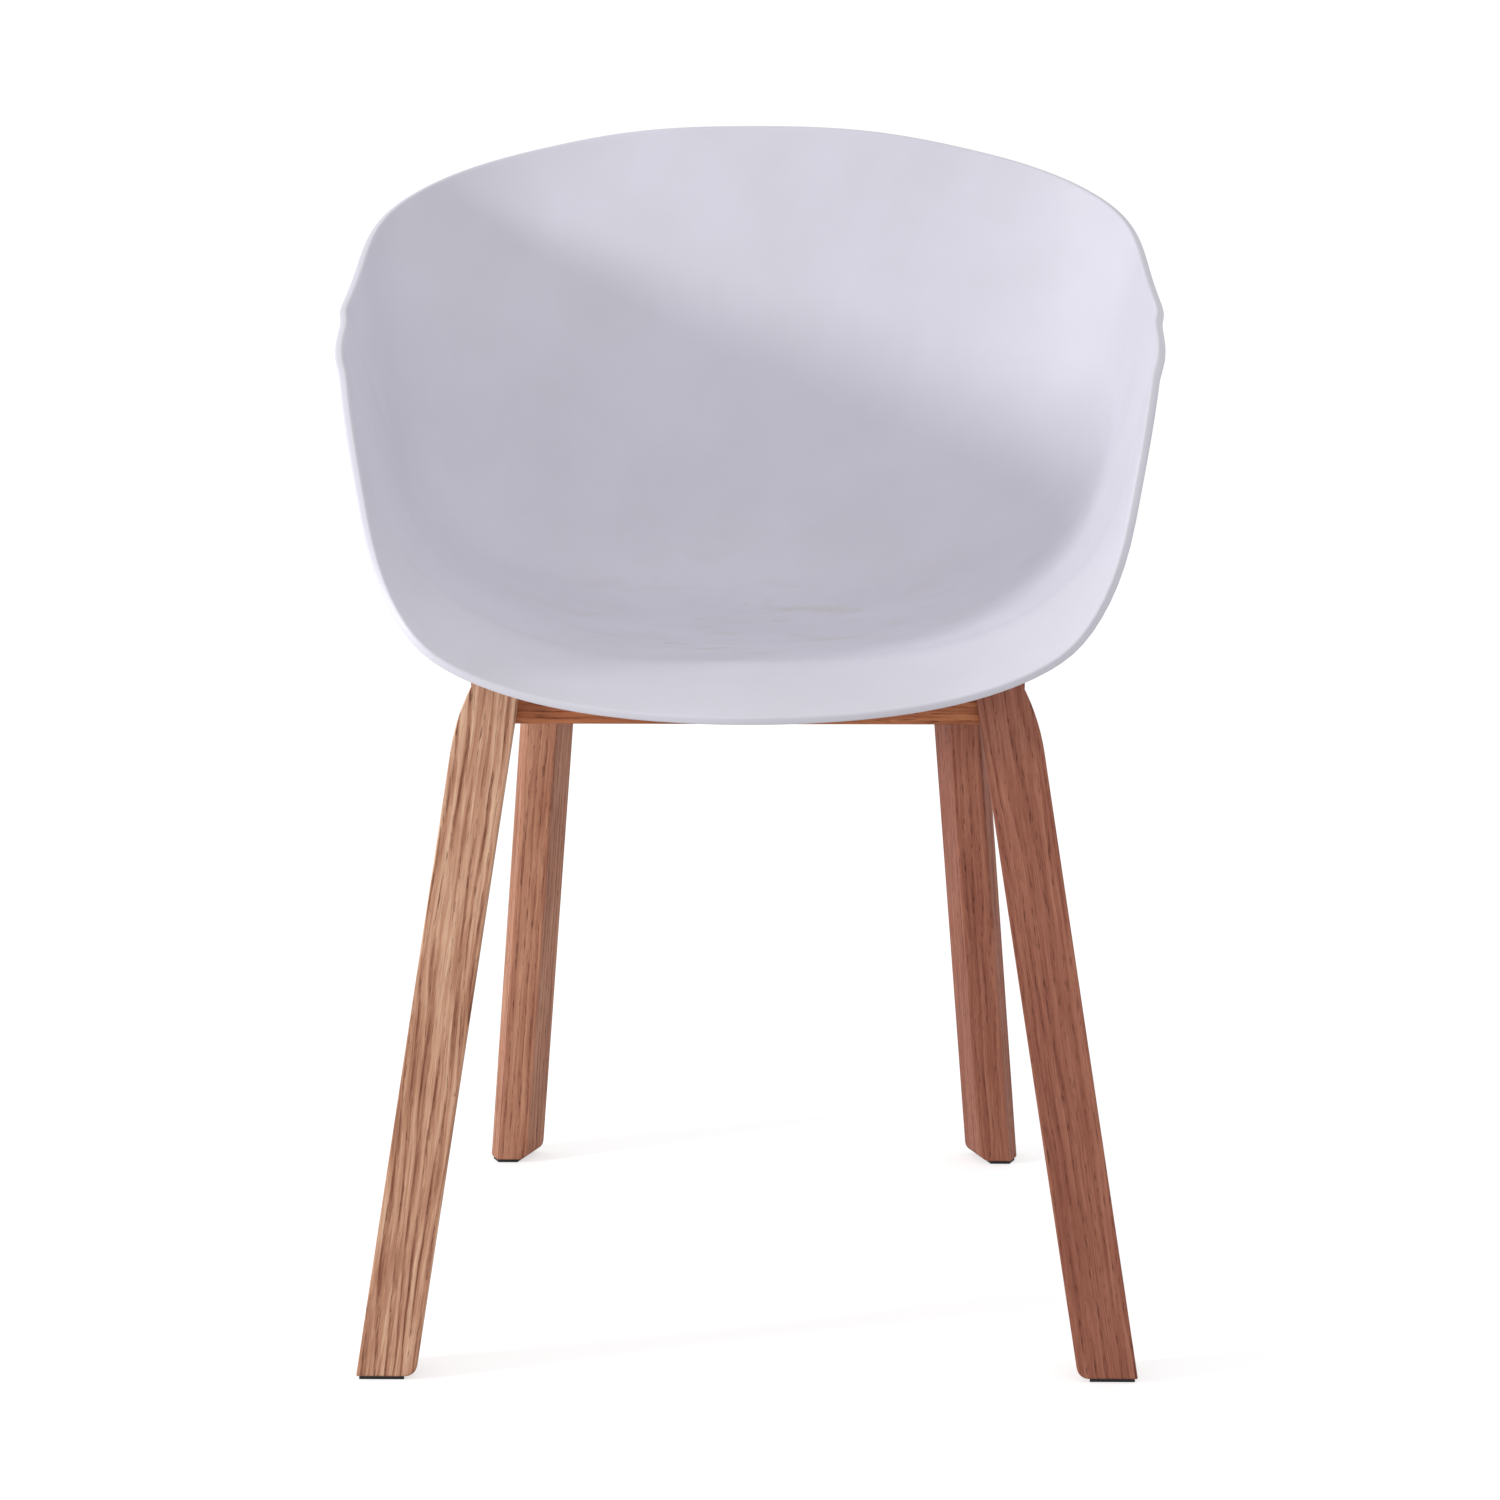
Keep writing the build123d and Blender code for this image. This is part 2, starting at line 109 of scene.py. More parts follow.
def sitting_surface(angle, climb):
    """Points of the sitting surface. climb is 0 on the centre line and 1 or -1 at the full wall height."""
    height = WALL_HEIGHT * np.abs(climb) ** 3
    half_width = smooth_curve(SECTION_ANGLES, SECTION_HALF_WIDTHS, angle)
    flare = smooth_curve(SECTION_ANGLES, SECTION_FLARES, angle)
    bend = smooth_curve(SECTION_ANGLES, SECTION_BENDS, angle)
    exponent = smooth_curve(SECTION_ANGLES, SECTION_EXPONENTS, angle)
    below_bend = np.clip(1 - height / bend, 0, 1)
    x = (half_width + flare * height) * (1 - below_bend**exponent) ** (1 / exponent)
    radius = smooth_curve(centre_angles, centre_radii, angle) - height
    turn = np.radians(angle)
    place = [np.sign(climb) * x, SHELL_AXIS[0] + radius * np.sin(turn), SHELL_AXIS[1] - radius * np.cos(turn)]
    return np.stack(place, -1)


def slopes(angle, climb):
    """How the surface runs with the angle and with the climb."""
    along = sitting_surface(angle + ANGLE_STEP, climb) - sitting_surface(angle - ANGLE_STEP, climb)
    across = sitting_surface(angle, climb + CLIMB_STEP) - sitting_surface(angle, climb - CLIMB_STEP)
    return along / (2 * ANGLE_STEP), across / (2 * CLIMB_STEP)


def unit(vectors):
    return vectors / np.linalg.norm(vectors, axis=-1, keepdims=True)


def outward(angle, climb):
    """Unit normals of the shell, pointing away from the sitter."""
    along, across = slopes(angle, climb)
    return unit(np.cross(along, across))


def periodic_curve(points, count):
    """Points evenly spaced on a smooth closed curve through the given points."""
    loops = np.concatenate([points, points, points, points[:1]])
    lengths = np.concatenate([[0], np.cumsum(np.linalg.norm(np.diff(loops, axis=0), axis=1))])
    turn = lengths[len(points)]
    at = turn + turn * np.arange(count) / count
    return np.stack([smooth_curve(lengths, loops[:, axis], at) for axis in range(3)], -1)


def rim_in_domain():
    """Angle and climb of the rim's inner edge, from the front lip round to the front lip again."""
    right = np.array(RIM_GUIDE, float)
    left = right[-2:0:-1] * (-1, 1, 1)
    guide = periodic_curve(np.concatenate([right, left]), RIM_SAMPLES)
    angle = np.degrees(np.arctan2(guide[:, 1] - SHELL_AXIS[0], SHELL_AXIS[1] - guide[:, 2]))
    below = np.hypot(guide[:, 1] - SHELL_AXIS[0], SHELL_AXIS[1] - guide[:, 2])
    height = np.clip(smooth_curve(centre_angles, centre_radii, angle) - below, 0, None)
    climb = np.sign(guide[:, 0]) * np.maximum((height / WALL_HEIGHT) ** (1 / 3), np.abs(guide[:, 0]) / 500)
    for _ in range(RIM_PASSES):
        gap = guide - sitting_surface(angle, climb)
        along, across = slopes(angle, climb)
        aa = (along * along).sum(-1)
        ac = (along * across).sum(-1)
        cc = (across * across).sum(-1)
        ga = (gap * along).sum(-1)
        gc = (gap * across).sum(-1)
        size = aa * cc - ac * ac
        angle = angle + np.clip((ga * cc - gc * ac) / size, -2, 2) * 0.8
        climb = np.clip(climb + np.clip((gc * aa - ga * ac) / size, -0.05, 0.05) * 0.8, -1, 1)
    return angle, climb


rim_angle, rim_climb = rim_in_domain()
rim_along = (rim_angle - DOMAIN_MIDDLE) / DOMAIN_HALF
rim_turn = np.mod(np.arctan2(rim_climb, -rim_along), 2 * np.pi)
rim_reach = np.hypot(rim_climb, rim_along)
order = np.argsort(rim_turn)
rim_turn = rim_turn[order]
rim_reach = rim_reach[order]


def domain(turn, share):
    """Angle and climb at a turn about the middle of the seat, and a share of the way to the rim."""
    reach = share * np.interp(turn, rim_turn, rim_reach, period=2 * np.pi)
    return DOMAIN_MIDDLE - DOMAIN_HALF * reach * np.cos(turn), reach * np.sin(turn)


# ------------------------ shell: mesh
def square_patch():
    """Turn, and share of the way to the rim, of each point of the patch: a square grid rounded to a disc."""
    line = np.linspace(-1, 1, GRID + 1)
    across, along = np.meshgrid(line, line)
    disc_across = across * np.sqrt(1 - along**2 / 2)
    disc_along = along * np.sqrt(1 - across**2 / 2)
    turn = np.mod(np.arctan2(disc_across, -disc_along), 2 * np.pi)
    return turn, np.hypot(disc_across, disc_along) * PATCH


def patch_edge():
    """Grid numbers of the patch's outline, in order round it."""
    last = GRID
    side = list(range(GRID))
    corners = [(0, i) for i in side] + [(i, last) for i in side]
    corners += [(last, last - i) for i in side] + [(last - i, 0) for i in side]
    return [row * (GRID + 1) + column for row, column in corners]


def shell_rim_section(place, normal, away):
    """Points over the rounded edge of the rim, from its inner side to its outer side."""
    section = []
    for side, edge in ((-1, 0), (1, SHELL_THICKNESS)):
        centre_depth = edge - side * RIM_ROUND
        for step in range(RIM_ROUND_STEPS + 1):
            turn = math.pi / 2 * step / RIM_ROUND_STEPS
            out, depth = math.sin(turn), math.cos(turn)
            if side > 0:
                out, depth = depth, out
            depth_at = centre_depth + side * RIM_ROUND * depth
            section.append(place + away * RIM_ROUND * (out - 1) + normal * depth_at)
    return section


def new_mesh_object(name, vertices, faces):
    """A smooth-shaded mesh object from points in millimetres."""
    mesh = bpy.data.meshes.new(name)
    mesh.from_pydata((np.asarray(vertices) * MM).tolist(), [], faces)
    mesh.validate()
    mesh.polygons.foreach_set("use_smooth", [True] * len(mesh.polygons))
    mesh.update()
    made = bpy.data.objects.new(name, mesh)
    bpy.context.scene.collection.objects.link(made)
    return made


def build_shell():
    """The bucket: both sides of the wall, and the rounded rim that joins them."""
    turn, share = square_patch()
    edge = patch_edge()
    ring_turn = turn.reshape(-1)[edge]
    ring_count = len(edge)
    grow = np.linspace(0, 1, RINGS + 1)[1:]
    ring_share = PATCH + (1 - PATCH) * grow
    turns = np.concatenate([turn.reshape(-1), np.tile(ring_turn, RINGS)])
    shares = np.concatenate([share.reshape(-1), np.repeat(ring_share, ring_count)])
    angle, climb = domain(turns, shares)
    inner = sitting_surface(angle, climb)
    normal = outward(angle, climb)

    rim = inner[-ring_count:]
    rim_normal = normal[-ring_count:]
    along_rim = unit(np.roll(rim, -1, 0) - np.roll(rim, 1, 0))
    away = unit(np.cross(along_rim, rim_normal))
    away *= np.sign(((rim - inner[-2 * ring_count:-ring_count]) * away).sum(-1))[:, None]
    section = shell_rim_section(rim, rim_normal, away)

    side_size = len(inner)
    inner_side, outer_side = inner.copy(), inner + SHELL_THICKNESS * normal
    inner_side[-ring_count:] = section[0]
    outer_side[-ring_count:] = section[-1]
    vertices = [inner_side, outer_side] + section[1:-1]

    faces = []
    for row in range(GRID):
        for column in range(GRID):
            first = row * (GRID + 1) + column
            faces.append((first, first + 1, first + GRID + 2, first + GRID + 1))
    loops = [edge] + [[len(turn.reshape(-1)) + ring * ring_count + i for i in range(ring_count)]
                      for ring in range(RINGS)]
    for inside, outside in zip(loops, loops[1:]):
        for i in range(ring_count):
            j = (i + 1) % ring_count
            faces.append((inside[j], inside[i], outside[i], outside[j]))
    outer_faces = [tuple(side_size + corner for corner in reversed(face)) for face in faces]
    section_loops = [loops[-1]]
    for step in range(len(section) - 2):
        start = 2 * side_size + step * ring_count
        section_loops.append(list(range(start, start + ring_count)))
    section_loops.append([side_size + corner for corner in loops[-1]])
    rim_faces = []
    for inside, outside in zip(section_loops, section_loops[1:]):
        for i in range(ring_count):
            j = (i + 1) % ring_count
            rim_faces.append((inside[j], inside[i], outside[i], outside[j]))
    return new_mesh_object("bucket_shell", np.concatenate(vertices), faces + outer_faces + rim_faces)


shell = build_shell()

# ------------------------ shell: the four bosses that it is bolted by
BOSS_RADIUS = 15.0
BOSS_SEGMENTS = 48
BOSS_FLARE = 4.0  # radius of the fillet where a boss meets the shell
BOSS_FLARE_STEPS = 6
BOSS_LEAST_HEIGHT = 1.5  # the flare starts at least this far above the boss's foot
BOSS_RING_GAP = 0.05  # and each ring of it is at least this far above the one before
BOSS_SMOOTH_ANGLE = math.radians(40)
INSERT_GAP = 0.05  # the hole clears the brass insert by this much
HOLE_RADIUS = 4.5 + INSERT_GAP
HOLE_DEPTH = 9 + INSERT_GAP
FLANGE_RADIUS = 5.5 + INSERT_GAP
FLANGE_DEPTH = 1 + INSERT_GAP


def bolt_places():
    """(x, y) of each boss, in millimetres, from where the brass inserts are."""
    points = np.array([v.co for v in nodes["shell_inserts"].data.vertices]) / MM
    behind = points[:, 1] > points[:, 1].mean()
    places = []
    for side in (-1, 1):
        for row in (~behind, behind):
            mine = points[(points[:, 0] * side > 0) & row]
            places.append((mine.min(0) + mine.max(0))[:2] / 2)
    return places


def boss_rings(x, y, bottom, height_above):
    """Closed rings of points, from the end of the hole round the outside of the boss to inside the shell."""
    turns = [2 * math.pi * i / BOSS_SEGMENTS for i in range(BOSS_SEGMENTS)]
    flat = [(HOLE_RADIUS, HOLE_DEPTH), (HOLE_RADIUS, FLANGE_DEPTH), (FLANGE_RADIUS, FLANGE_DEPTH),
            (FLANGE_RADIUS, 0), (BOSS_RADIUS - 1, 0), (BOSS_RADIUS - 0.3, 0.3), (BOSS_RADIUS, 1)]
    rings = [[(x + radius * math.cos(t), y + radius * math.sin(t), bottom + up) for t in turns]
             for radius, up in flat]
    flare = [(BOSS_RADIUS, -3 * BOSS_FLARE)]
    for step in range(BOSS_FLARE_STEPS + 1):
        turn = math.pi / 2 * step / BOSS_FLARE_STEPS
        flare.append((BOSS_RADIUS + BOSS_FLARE * (1 - math.cos(turn)), -BOSS_FLARE * (1 - math.sin(turn))))
    flare.append((BOSS_RADIUS + BOSS_FLARE, SHELL_THICKNESS / 4))
    flare.append((BOSS_RADIUS - 2, SHELL_THICKNESS / 2))
    for step, (radius, up) in enumerate(flare):
        lowest = bottom + BOSS_LEAST_HEIGHT + BOSS_RING_GAP * step
        ring = []
        for t in turns:
            at_x = x + radius * math.cos(t)
            at_y = y + radius * math.sin(t)
            ring.append((at_x, at_y, max(height_above(at_x, at_y) + up, lowest)))
        rings.append(ring)
    return rings


def add_bosses(shell):
    """Join four closed bosses to the underside of the shell's mesh."""
    corners = [v.co for v in shell.data.vertices]
    skin = BVHTree.FromPolygons(corners, [list(p.vertices) for p in shell.data.polygons])

    def height_above(x, y):
        hit = skin.ray_cast(Vector((x, y, 100)) * MM, Vector((0, 0, 1)))[0]
        return hit.z / MM

    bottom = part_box("spacer_pads")[1].z / MM
    vertices, faces = [], []
    for x, y in bolt_places():
        rings = boss_rings(x, y, bottom, height_above)
        start = len(vertices)
        for ring in rings:
            vertices.extend(ring)
        for k in range(len(rings) - 1):
            here = start + k * BOSS_SEGMENTS
            after = here + BOSS_SEGMENTS
            for i in range(BOSS_SEGMENTS):
                j = (i + 1) % BOSS_SEGMENTS
                faces.append((here + i, here + j, after + j, after + i))
        last = start + (len(rings) - 1) * BOSS_SEGMENTS
        faces.append(tuple(start + i for i in reversed(range(BOSS_SEGMENTS))))
        faces.append(tuple(last + i for i in range(BOSS_SEGMENTS)))
    bosses = new_mesh_object("bosses", vertices, faces)
    joined = bmesh.new()
    joined.from_mesh(bosses.data)
    bmesh.ops.recalc_face_normals(joined, faces=joined.faces)
    for edge in joined.edges:
        edge.smooth = edge.calc_face_angle(0) < BOSS_SMOOTH_ANGLE
    joined.from_mesh(shell.data)
    joined.to_mesh(shell.data)
    joined.free()
    bpy.data.objects.remove(bosses)


add_bosses(shell)


# ------------------------ materials
def linear(red, green, blue):
    """A colour given as it shows on screen, 0 to 255, as the shader wants it."""
    channels = [value / 255 for value in (red, green, blue)]
    return tuple(c / 12.92 if c < 0.04045 else ((c + 0.055) / 1.055) ** 2.4 for c in channels) + (1.0,)


class Painter:
    """A material with one principled shader, and short ways to add nodes to it."""

    def __init__(self, name, **values):
        self.material = bpy.data.materials.new(name)
        self.material.use_nodes = True
        self.tree = self.material.node_tree
        self.shader = next(n for n in self.tree.nodes if n.type == "BSDF_PRINCIPLED")
        for key, value in values.items():
            self.set(key.replace("_", " "), value)

    def set(self, socket_name, value):
        """Give one of the shader's sockets a constant or another node's output."""
        names = {s.name.lower(): s for s in self.shader.inputs}
        self.feed(names[socket_name.lower()], value)

    def feed(self, socket, value):
        """Link another node's output to a socket, or set the socket's own value."""
        if isinstance(value, bpy.types.NodeSocket):
            self.tree.links.new(value, socket)
        else:
            socket.default_value = value

    def add(self, kind, *inputs, **settings):
        """Add a node; inputs go to its sockets in order, and None leaves one alone."""
        node = self.tree.nodes.new("ShaderNode" + kind)
        for key, value in settings.items():
            setattr(node, key, value)
        for socket, value in zip(node.inputs, inputs):
            if value is not None:
                self.feed(socket, value)
        return node

    def place(self, rows=None, origin=(0, 0, 0), seed=0.0):
        """Position in millimetres from an origin, along the three directions given."""
        coordinates = self.add("TexCoord").outputs["Object"]
        moved = self.add("VectorMath", coordinates, tuple(origin), operation="SUBTRACT").outputs[0]
        if rows:
            turn = Matrix(rows).to_euler()
            moved = self.add("Mapping", moved, None, tuple(turn), None, vector_type="POINT").outputs[0]
        scaled = self.add("VectorMath", moved, (1000, 1000, 1000), operation="MULTIPLY").outputs[0]
        return self.add("VectorMath", scaled, (seed, 2.3 * seed, 31.7 * seed), operation="ADD").outputs[0]

    def stretch(self, vector, factors):
        """A vector with each of its directions scaled."""
        return self.add("VectorMath", vector, tuple(factors), operation="MULTIPLY").outputs[0]

    def noise(self, vector, size, detail=2.0, roughness=0.5, distortion=0.0):
        """Noise from 0 to 1 whose features are about size millimetres across."""
        node = self.add("TexNoise", vector)
        for key, value in (("Scale", 1 / size), ("Detail", detail), ("Roughness", roughness),
                           ("Distortion", distortion)):
            node.inputs[key].default_value = value
        return node.outputs["Fac"]

    def math(self, operation, *inputs, clamp=False):
        """One Math node over numbers or other nodes' outputs."""
        return self.add("Math", *inputs, operation=operation, use_clamp=clamp).outputs[0]

    def spread(self, value, low, high, to_low=0.0, to_high=1.0):
        """Stretch a range of values smoothly to another, and hold it there beyond its ends."""
        node = self.add("MapRange", value, low, high, to_low, to_high, interpolation_type="SMOOTHSTEP")
        return node.outputs[0]

    def ramp(self, value, stops):
        """Colours, or greys, at places from 0 to 1."""
        node = self.add("ValToRGB", value)
        band = node.color_ramp
        for _ in range(len(stops) - 2):
            band.elements.new(0.5)
        for element, (at, colour) in zip(band.elements, stops):
            element.position = at
            element.color = colour if isinstance(colour, tuple) else (colour, colour, colour, 1)
        return node.outputs["Color"]

    def mix(self, share, first, second):
        """One colour passing into another."""
        node = self.tree.nodes.new("ShaderNodeMix")
        node.data_type = "RGBA"
        self.feed(node.inputs[0], share)
        self.feed(node.inputs[6], first)
        self.feed(node.inputs[7], second)
        return node.outputs[2]

    def bump(self, height, depth_mm):
        """Relief of that depth, in millimetres, where height goes from 0 to 1."""
        node = self.tree.nodes.new("ShaderNodeBump")
        node.inputs["Strength"].default_value = 1.0
        node.inputs["Distance"].default_value = depth_mm * MM
        self.feed(node.inputs["Height"], height)
        self.set("Normal", node.outputs["Normal"])


def plastic_white():
    """Satin moulded polypropylene: fine grain, faint flow marks and a few warm scuffs on the seat."""
    paint = Painter("shell_white_plastic", ior=1.49, specular_ior_level=0.3)
    place = paint.place()
    cloud = paint.noise(place, 90, 3, 0.55)
    tone = paint.ramp(paint.spread(cloud, 0.3, 0.7), [(0, linear(222, 220, 230)), (1, linear(227, 225, 236))])
    centre = paint.add("VectorMath", place, (0, 20, 470), operation="SUBTRACT").outputs[0]
    reach = paint.add("VectorMath", paint.stretch(centre, (1 / 190, 1 / 170, 1 / 120)), operation="LENGTH")
    on_seat = paint.spread(reach.outputs["Value"], 1.1, 0.35)
    streaks = paint.noise(paint.stretch(place, (0.45, 1, 1)), 26, 5, 0.62, 0.6)
    scuff = paint.math("MULTIPLY", paint.spread(streaks, 0.5, 0.74), on_seat)
    tone = paint.mix(paint.math("MULTIPLY", scuff, 0.7), tone, linear(209, 205, 200))
    rub = paint.noise(paint.stretch(place, (1, 0.25, 1)), 3.2, 3, 0.6)
    marks = paint.math("MULTIPLY", paint.spread(rub, 0.66, 0.78), on_seat)
    tone = paint.mix(paint.math("MULTIPLY", marks, 0.25), tone, linear(190, 186, 184))
    paint.set("base color", tone)
    satin = paint.spread(paint.noise(place, 38, 4, 0.6), 0.3, 0.7, 0.40, 0.50)
    paint.set("roughness", paint.math("ADD", satin, paint.math("MULTIPLY", scuff, 0.12)))
    grain = paint.noise(place, 0.55, 2, 0.5)
    ripple = paint.noise(place, 34, 1, 0.4)
    relief = paint.math("ADD", paint.math("MULTIPLY", grain, 0.16), paint.math("MULTIPLY", ripple, 1.0))
    paint.bump(relief, 0.16)
    return paint.material


PITH = (-55, 62)  # where the middle of the tree was, beside and behind the board


def wood(name, origin, grain, face, light, middle, dark, seed, ring=3.4, ring_depth=0.5, wave=1.0,
         streakiness=0.75):
    """Stained, clear-lacquered ash. grain runs along the piece, and face points out of its widest side."""
    paint = Painter(name, ior=1.5, specular_ior_level=0.22)
    up = Vector(grain).normalized()
    out = Vector(face)
    out = (out - up * out.dot(up)).normalized()
    across = up.cross(out)
    straight = paint.place((across, out, up), origin, seed)

    def drift(size, along, reach):
        """How far the grain lines wander, in millimetres, over noise drawn out along the grain."""
        field = paint.noise(paint.stretch(straight, (1, 1, along)), size, 2)
        return paint.spread(field, 0, 1, -reach * wave, reach * wave)

    sideways = paint.math("ADD", drift(26, 0.16, 6), drift(9, 0.35, 0.6))
    shift = paint.add("CombineXYZ", sideways, drift(60, 0.1, 22)).outputs[0]
    place = paint.add("VectorMath", straight, shift, operation="ADD").outputs[0]

    pith = (PITH[0] + seed, PITH[1] + 2.3 * seed, 0)
    from_pith = paint.add("VectorMath", place, pith, operation="SUBTRACT")
    level = paint.stretch(from_pith.outputs[0], (1, 1, 0))
    distance = paint.add("VectorMath", level, operation="LENGTH").outputs["Value"]
    phase = paint.math("FRACT", paint.math("DIVIDE", distance, ring))
    early = paint.ramp(phase, [(0.0, 0.9), (0.10, 1.0), (0.34, 0.42), (0.72, 0.0), (0.93, 0.12), (1.0, 0.9)])
    patchy = paint.spread(paint.noise(paint.stretch(place, (1, 1, 0.07)), 3.6, 2), 0.3, 0.72, 0.15, 1.2)
    lines = paint.math("MULTIPLY", early, patchy)

    streak = paint.noise(paint.stretch(place, (1, 1, 0.03)), 4.2, 3, 0.6)
    fibre = paint.noise(paint.stretch(place, (1, 1, 0.022)), 0.8, 3, 0.6)
    broad = paint.noise(paint.stretch(place, (1, 1, 0.2)), 46, 2, 0.5)
    pore_noise = paint.noise(paint.stretch(place, (1, 1, 0.09)), 0.8, 1, 0.4)
    pores = paint.math("MULTIPLY", paint.spread(pore_noise, 0.57, 0.67),
                       paint.math("MULTIPLY_ADD", early, 0.85, 0.15), clamp=True)

    tone = paint.math("MULTIPLY_ADD", streak, 2 * streakiness, 0.5 - streakiness)
    tone = paint.math("ADD", tone, paint.math("MULTIPLY_ADD", fibre, 0.9, -0.45))
    tone = paint.math("ADD", tone, paint.math("MULTIPLY_ADD", broad, 0.6, -0.3))
    tone = paint.math("SUBTRACT", tone, paint.math("MULTIPLY", lines, ring_depth))
    tone = paint.math("ADD", tone, 0.3 * ring_depth, clamp=True)
    colour = paint.ramp(tone, [(0.0, dark), (0.48, middle), (0.95, light)])
    pore_colour = tuple(c * 0.4 for c in dark[:3]) + (1.0,)
    colour = paint.mix(paint.math("MULTIPLY", pores, 0.6), colour, pore_colour)
    paint.set("base color", colour)

    lacquer = paint.spread(paint.noise(place, 30, 3, 0.5), 0.3, 0.7, 0.42, 0.52)
    paint.set("roughness", paint.math("ADD", lacquer, paint.math("MULTIPLY", pores, 0.25)))
    relief = paint.math("SUBTRACT", paint.math("MULTIPLY", fibre, 0.25), paint.math("MULTIPLY", pores, 0.8))
    relief = paint.math("SUBTRACT", relief, paint.math("MULTIPLY", lines, 0.35))
    paint.bump(paint.math("ADD", relief, 1.0), 0.14)
    return paint.material


def glide_black():
    """Black moulded nylon, scuffed where it slides."""
    paint = Painter("glide_black_nylon", ior=1.53)
    place = paint.place()
    scuffs = paint.spread(paint.noise(paint.stretch(place, (1, 0.2, 1)), 1.6, 4, 0.6), 0.52, 0.72)
    paint.set("base color", paint.ramp(scuffs, [(0, (0.012, 0.012, 0.013, 1)), (1, (0.05, 0.049, 0.047, 1))]))
    paint.set("roughness", paint.spread(scuffs, 0, 1, 0.38, 0.7))
    paint.bump(paint.noise(place, 0.5, 3, 0.6), 0.05)
    return paint.material


def metal(name, bright, dull, roughness, size):
    """Plated or blackened steel, or brass, with a faint turned finish and dulled patches."""
    paint = Painter(name, metallic=1.0)
    place = paint.place()
    patches = paint.spread(paint.noise(place, size, 4, 0.6), 0.35, 0.68)
    turned = paint.noise(paint.stretch(place, (1, 1, 6)), 0.7, 2, 0.5)
    paint.set("base color", paint.ramp(patches, [(0, bright), (1, dull)]))
    worn = paint.spread(patches, 0, 1, roughness, roughness + 0.18)
    paint.set("roughness", paint.math("ADD", worn, paint.math("MULTIPLY_ADD", turned, 0.16, -0.08)))
    paint.bump(turned, 0.02)
    return paint.material


def rubber():
    """Dark grey rubber, slightly dusty."""
    paint = Painter("pad_grey_rubber", ior=1.45, specular_ior_level=0.3)
    place = paint.place()
    dust = paint.spread(paint.noise(place, 4, 5, 0.65), 0.45, 0.75)
    paint.set("base color", paint.ramp(dust, [(0, (0.022, 0.022, 0.023, 1)), (1, (0.09, 0.088, 0.083, 1))]))
    paint.set("roughness", paint.spread(dust, 0, 1, 0.62, 0.86))
    paint.bump(paint.noise(place, 0.4, 2, 0.6), 0.06)
    return paint.material


def cover(node_name, material):
    """Give a carried-over CAD node its finished material."""
    for material_slot in nodes[node_name].material_slots:
        material_slot.material = material


# ------------------------ the pieces and their finishes
CORNERS = ("front_left", "front_right", "rear_left", "rear_right")
FRONT_SPLAY = 8.9  # degrees, as in the CAD part
FRONT_LEAN = 6.0
REAR_SPLAY = 4.8
REAR_LEAN = 8.0
GRAIN_RUNOUT = 1.3  # the grain of the front left leg is this far off the leg's own length

# Light, middle and dark tone of each board. The two left legs' tones are paler and lighter than the right
# legs' red. That is partly painted light, the lamp's light and sheen from the left painted into the wood's
# colour, and partly the boards' own difference in tone.
ASH_PALE_PAINTED_LIGHT = (linear(235, 193, 162), linear(193, 140, 112), linear(136, 85, 63))
ASH_TAN_PAINTED_LIGHT = (linear(217, 161, 131), linear(182, 124, 98), linear(135, 81, 62))
ASH_RED = (linear(187, 125, 102), linear(159, 98, 78), linear(119, 64, 49))
ASH_ORANGE = (linear(219, 143, 98), linear(186, 112, 74), linear(140, 78, 50))
BEECH = (linear(226, 194, 156), linear(214, 178, 138), linear(188, 148, 108))


def leg_direction(side, end, splay, lean):
    """Which way a leg runs, from its foot to the seat."""
    return (-side * math.tan(math.radians(splay)), -end * math.tan(math.radians(lean)), 1)


def cover_leg(corner, grain, tones, **figure):
    """Give a leg its own board of ash, with the widest side facing the front or the back."""
    low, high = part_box(corner + "_glide")
    face = (0, -1, 0) if corner.startswith("front") else (0, 1, 0)
    cover(corner + "_leg", wood("ash_" + corner, (low + high) / 2, grain, face, *tones, **figure))


# The two left legs get the paler tones: partly painted light from the lamp on the left, partly the boards'
# own tone.
cover_leg("front_left", leg_direction(-1, -1, FRONT_SPLAY - GRAIN_RUNOUT, FRONT_LEAN), ASH_PALE_PAINTED_LIGHT,
          seed=3.0, ring=3.3, ring_depth=0.52, wave=0.65, streakiness=0.8)
cover_leg("front_right", leg_direction(1, -1, FRONT_SPLAY, FRONT_LEAN), ASH_RED,
          seed=11.0, ring=3.0, ring_depth=0.3, wave=0.5, streakiness=0.6)
cover_leg("rear_left", leg_direction(-1, 1, REAR_SPLAY, REAR_LEAN), ASH_TAN_PAINTED_LIGHT,
          seed=19.0, ring=3.6, ring_depth=0.42, wave=0.4, streakiness=0.6)
cover_leg("rear_right", leg_direction(1, 1, REAR_SPLAY, REAR_LEAN), ASH_RED,
          seed=27.0, ring=3.4, ring_depth=0.3, wave=0.6, streakiness=0.6)

RAILS = {"front_rail": ((1, 0, 0), (0, -1, 0)), "rear_rail": ((1, 0, 0), (0, -1, 0)),
         "left_side_rail": ((0.06, 1, 0), (0, 0, 1)), "right_side_rail": ((-0.06, 1, 0), (0, 0, 1))}
for number, (rail, (grain, face)) in enumerate(RAILS.items()):
    cover(rail, wood("ash_" + rail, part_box(rail)[0], grain, face, *ASH_ORANGE, seed=37.0 + 5 * number,
                     ring=3.4, ring_depth=0.4, wave=0.6))
for number, corner in enumerate(CORNERS):
    turn = -1 if corner in ("front_left", "rear_right") else 1
    block = corner + "_corner_block"
    cover(block, wood("ash_" + corner + "_block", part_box(block)[0], (turn, 1, 0), (0, 0, -1), *ASH_ORANGE,
                      seed=61.0 + 4 * number, wave=0.5))
